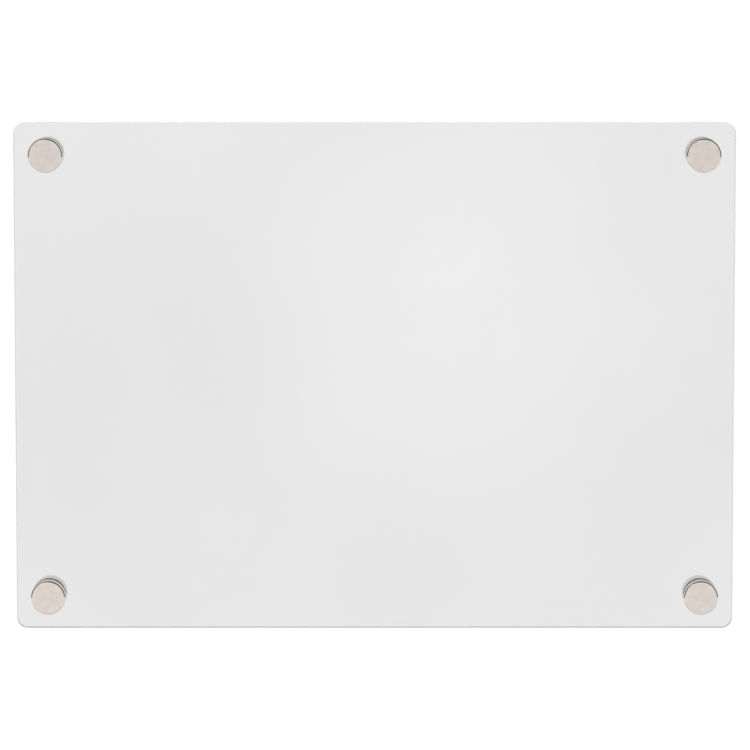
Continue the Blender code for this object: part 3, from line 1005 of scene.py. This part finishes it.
def white_room(settings):
    """A white room with a dark ceiling and dark flags at its sides, which the metal pieces' rims mirror."""
    world = bpy.data.worlds.new("room")
    bpy.context.scene.world = world
    world.use_nodes = True
    tree = world.node_tree
    tree.nodes.clear()
    path = add(tree, "ShaderNodeLightPath", {}).outputs
    direction = add(tree, "ShaderNodeTexCoord", {}).outputs["Generated"]
    part = add(tree, "ShaderNodeSeparateXYZ", {"Vector": direction}).outputs
    ceiling = ranged(tree, part["Z"], *CEILING_SPAN, 1.0, settings.ceiling)
    flags = ranged(tree, reckoned(tree, "ABSOLUTE", part["X"]), *FLAG_SPAN, 1.0, settings.flags)
    mirrored = reckoned(tree, "MULTIPLY", ceiling, flags)
    unseen = add(
        tree, "ShaderNodeMix", {0: path["Is Glossy Ray"], 2: settings.ambient, 3: mirrored}
    ).outputs[0]
    direct = reckoned(tree, "MAXIMUM", path["Is Camera Ray"], path["Is Transmission Ray"])
    strength = add(tree, "ShaderNodeMix", {0: direct, 2: unseen, 3: 1.0}).outputs[0]
    room = add(tree, "ShaderNodeBackground", {"Color": (1, 1, 1, 1), "Strength": strength})
    add(tree, "ShaderNodeOutputWorld", {"Surface": room.outputs[0]})


def soft_lamp(name, shares, power, settings):
    light = bpy.data.lights.new(name, "AREA")
    light.energy = power
    light.size = settings.lamp_size
    lamp = bpy.data.objects.new(name, light)
    lamp.location = Vector(shares) * settings.distance
    lamp.rotation_mode = "QUATERNION"
    lamp.rotation_quaternion = (-lamp.location).to_track_quat("-Z", "Y")
    bpy.context.scene.collection.objects.link(lamp)


def camera_at(settings):
    """A long lens above the board's middle, looking a little down on it."""
    low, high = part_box("panel")
    across = (low.x + high.x) / 2 + settings.aim_right
    up = (low.z + high.z) / 2 + settings.aim_up
    aim = Vector((across, low.y, up))
    outward = Vector((0, -math.cos(settings.elevation), math.sin(settings.elevation)))
    lens = bpy.data.cameras.new("camera")
    lens.sensor_width = settings.sensor
    lens.lens = settings.sensor * settings.distance / settings.picture_width
    camera = bpy.data.objects.new("camera", lens)
    camera.location = aim + outward * settings.distance
    camera.rotation_mode = "QUATERNION"
    camera.rotation_quaternion = (-outward).to_track_quat("-Z", "Y")
    bpy.context.scene.collection.objects.link(camera)
    bpy.context.scene.camera = camera


class MEMO_OT_stage(Operator):
    """Makes the camera, the floor, the white room and its lamps"""

    bl_idname = "memo_board.stage"
    bl_label = "Stage"

    def execute(self, context):
        settings = context.scene.memo_board.stage
        low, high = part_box("panel")
        white_floor(settings, low.z - settings.floor_drop)
        white_room(settings)
        soft_lamp("key_lamp", KEY_LAMP_SHARES, settings.key_power, settings)
        soft_lamp("fill_lamp", FILL_LAMP_SHARES, settings.fill_power, settings)
        camera_at(settings)
        context.scene.view_settings.view_transform = "Standard"
        return {"FINISHED"}


class VIEW3D_PT_memo_board(Panel):
    """Lists the board's pieces and its stage"""

    bl_label = "Memo board"
    bl_space_type = "VIEW_3D"
    bl_region_type = "UI"
    bl_category = "Memo board"

    def draw(self, context):
        for operator in PIECES:
            self.layout.operator(operator.bl_idname)


SETTINGS = (SheetSettings, StandoffSettings, FixingSettings, StageSettings, MemoBoardSettings)
PIECES = (
    MEMO_OT_stage,
    MEMO_OT_sheet,
    MEMO_OT_caps,
    MEMO_OT_studs,
    MEMO_OT_washers,
    MEMO_OT_barrels,
    MEMO_OT_wall_screws,
    MEMO_OT_wall_plugs,
)


def register():
    for made in (*SETTINGS, *PIECES, VIEW3D_PT_memo_board):
        bpy.utils.register_class(made)
    bpy.types.Scene.memo_board = PointerProperty(type=MemoBoardSettings)


def unregister():
    del bpy.types.Scene.memo_board
    for made in reversed((*SETTINGS, *PIECES, VIEW3D_PT_memo_board)):
        bpy.utils.unregister_class(made)


def main():
    register()
    bpy.ops.memo_board.stage()
    bpy.ops.memo_board.sheet()
    bpy.ops.memo_board.caps()
    bpy.ops.memo_board.studs()
    bpy.ops.memo_board.washers()
    bpy.ops.memo_board.barrels()
    bpy.ops.memo_board.wall_screws()
    bpy.ops.memo_board.wall_plugs()


if __name__ == "__main__":
    main()
